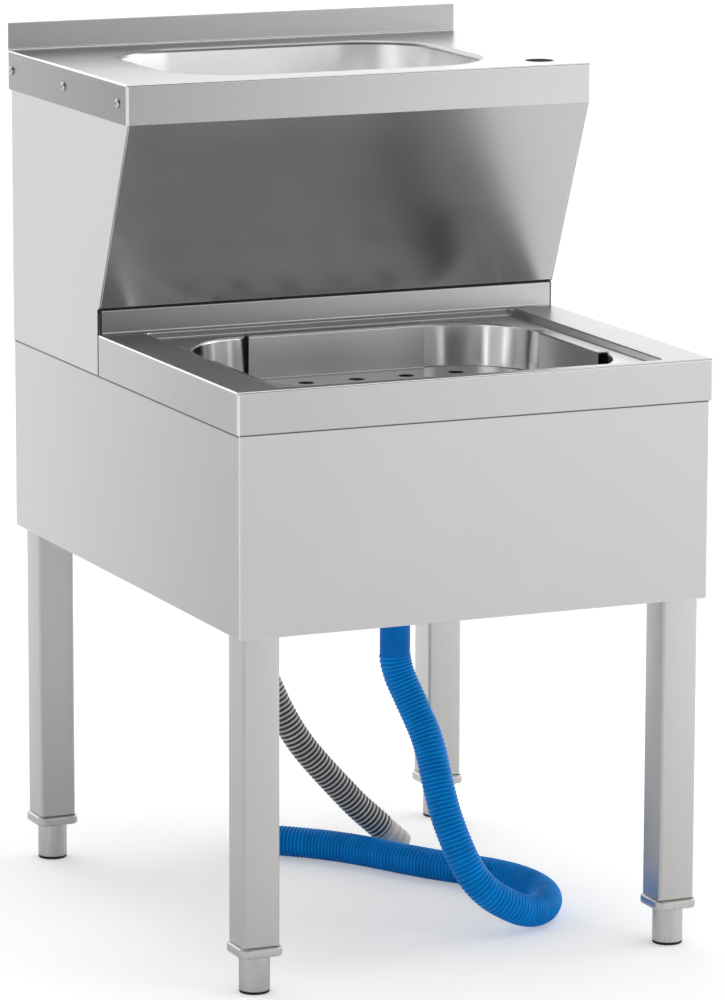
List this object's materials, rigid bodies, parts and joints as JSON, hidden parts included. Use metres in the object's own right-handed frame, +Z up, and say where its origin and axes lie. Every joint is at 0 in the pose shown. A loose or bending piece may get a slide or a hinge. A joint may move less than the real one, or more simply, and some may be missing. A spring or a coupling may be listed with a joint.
{
  "type": "mop sink",
  "caption": "Free-standing stainless steel mop sink with a deep bowl, lift-out strainer tray, raised hand basin at the back, skirt, square legs, levelling feet and waste hoses.",
  "frame": {"origin": "on the floor, at the middle of the sink's footprint, hoses left out", "axes": "+X to the right as one stands at the sink, +Y to the back, +Z up"},
  "size_m": [0.5048, 0.61, 0.872],
  "materials": {
    "satin_steel": "satin brushed sheet",
    "polished_steel": "finely polished, bright bands",
    "tube_steel": "satin tube",
    "foot_steel": "satin turned",
    "screw_steel": "bright",
    "black_rubber": "matt",
    "white_plastic": "moulded",
    "blue_plastic": "satin, finely ribbed",
    "grey_plastic": "satin, finely ribbed",
    "pale_plastic": "satin"
  },
  "bodies": {
    "sink": {"apron_screw_left_1": "screw_steel", "apron_screw_left_2": "screw_steel", "apron_screw_left_3": "screw_steel", "apron_screw_right_1": "screw_steel", "apron_screw_right_2": "screw_steel", "apron_screw_right_3": "screw_steel", "blue_hose": "blue_plastic", "blue_hose_end_cuff": "blue_plastic", "blue_hose_top_cuff": "blue_plastic", "grey_hose": "grey_plastic", "grey_hose_end_cuff": "pale_plastic", "grey_hose_top_cuff": "grey_plastic", "hand_basin": "polished_steel", "hand_waste_body": "white_plastic", "hand_waste_nut": "white_plastic", "hand_waste_strainer": "polished_steel", "hand_waste_washer": "black_rubber", "leg_back_left": "tube_steel", "leg_back_right": "tube_steel", "leg_bracket_back_left": "satin_steel", "leg_bracket_back_right": "satin_steel", "leg_bracket_front_left": "satin_steel", "leg_bracket_front_right": "satin_steel", "leg_collar_back_left": "foot_steel", "leg_collar_back_right": "foot_steel", "leg_collar_front_left": "foot_steel", "leg_collar_front_right": "foot_steel", "leg_front_left": "tube_steel", "leg_front_right": "tube_steel", "lower_top": "satin_steel", "mop_bowl": "polished_steel", "mop_waste_body": "white_plastic", "mop_waste_nut": "white_plastic", "mop_waste_strainer": "polished_steel", "mop_waste_washer": "black_rubber", "skirt_back": "satin_steel", "skirt_front": "satin_steel", "skirt_left": "satin_steel", "skirt_right": "satin_steel", "upper_back_rail": "satin_steel", "upper_front_panel": "satin_steel", "upper_side_left": "satin_steel", "upper_side_right": "satin_steel", "upper_top": "satin_steel"},
    "tray": {"strainer_tray": "satin_steel"},
    "front_left_foot": {"foot_front_left": "foot_steel", "foot_sole_front_left": "black_rubber"},
    "front_right_foot": {"foot_front_right": "foot_steel", "foot_sole_front_right": "black_rubber"},
    "back_left_foot": {"foot_back_left": "foot_steel", "foot_sole_back_left": "black_rubber"},
    "back_right_foot": {"foot_back_right": "foot_steel", "foot_sole_back_right": "black_rubber"}
  },
  "joints": [
    {"name": "tray_lift", "type": "slide", "parent": "sink", "child": "tray", "axis": [0, 0, 1], "range_m": [0, 0.052]},
    {"name": "front_left_foot_thread", "type": "slide", "parent": "sink", "child": "front_left_foot", "axis": [0, 0, -1], "range_m": [-0.001, 0.04]},
    {"name": "front_right_foot_thread", "type": "slide", "parent": "sink", "child": "front_right_foot", "axis": [0, 0, -1], "range_m": [-0.001, 0.04]},
    {"name": "back_left_foot_thread", "type": "slide", "parent": "sink", "child": "back_left_foot", "axis": [0, 0, -1], "range_m": [-0.001, 0.04]},
    {"name": "back_right_foot_thread", "type": "slide", "parent": "sink", "child": "back_right_foot", "axis": [0, 0, -1], "range_m": [-0.001, 0.04]}
  ]
}
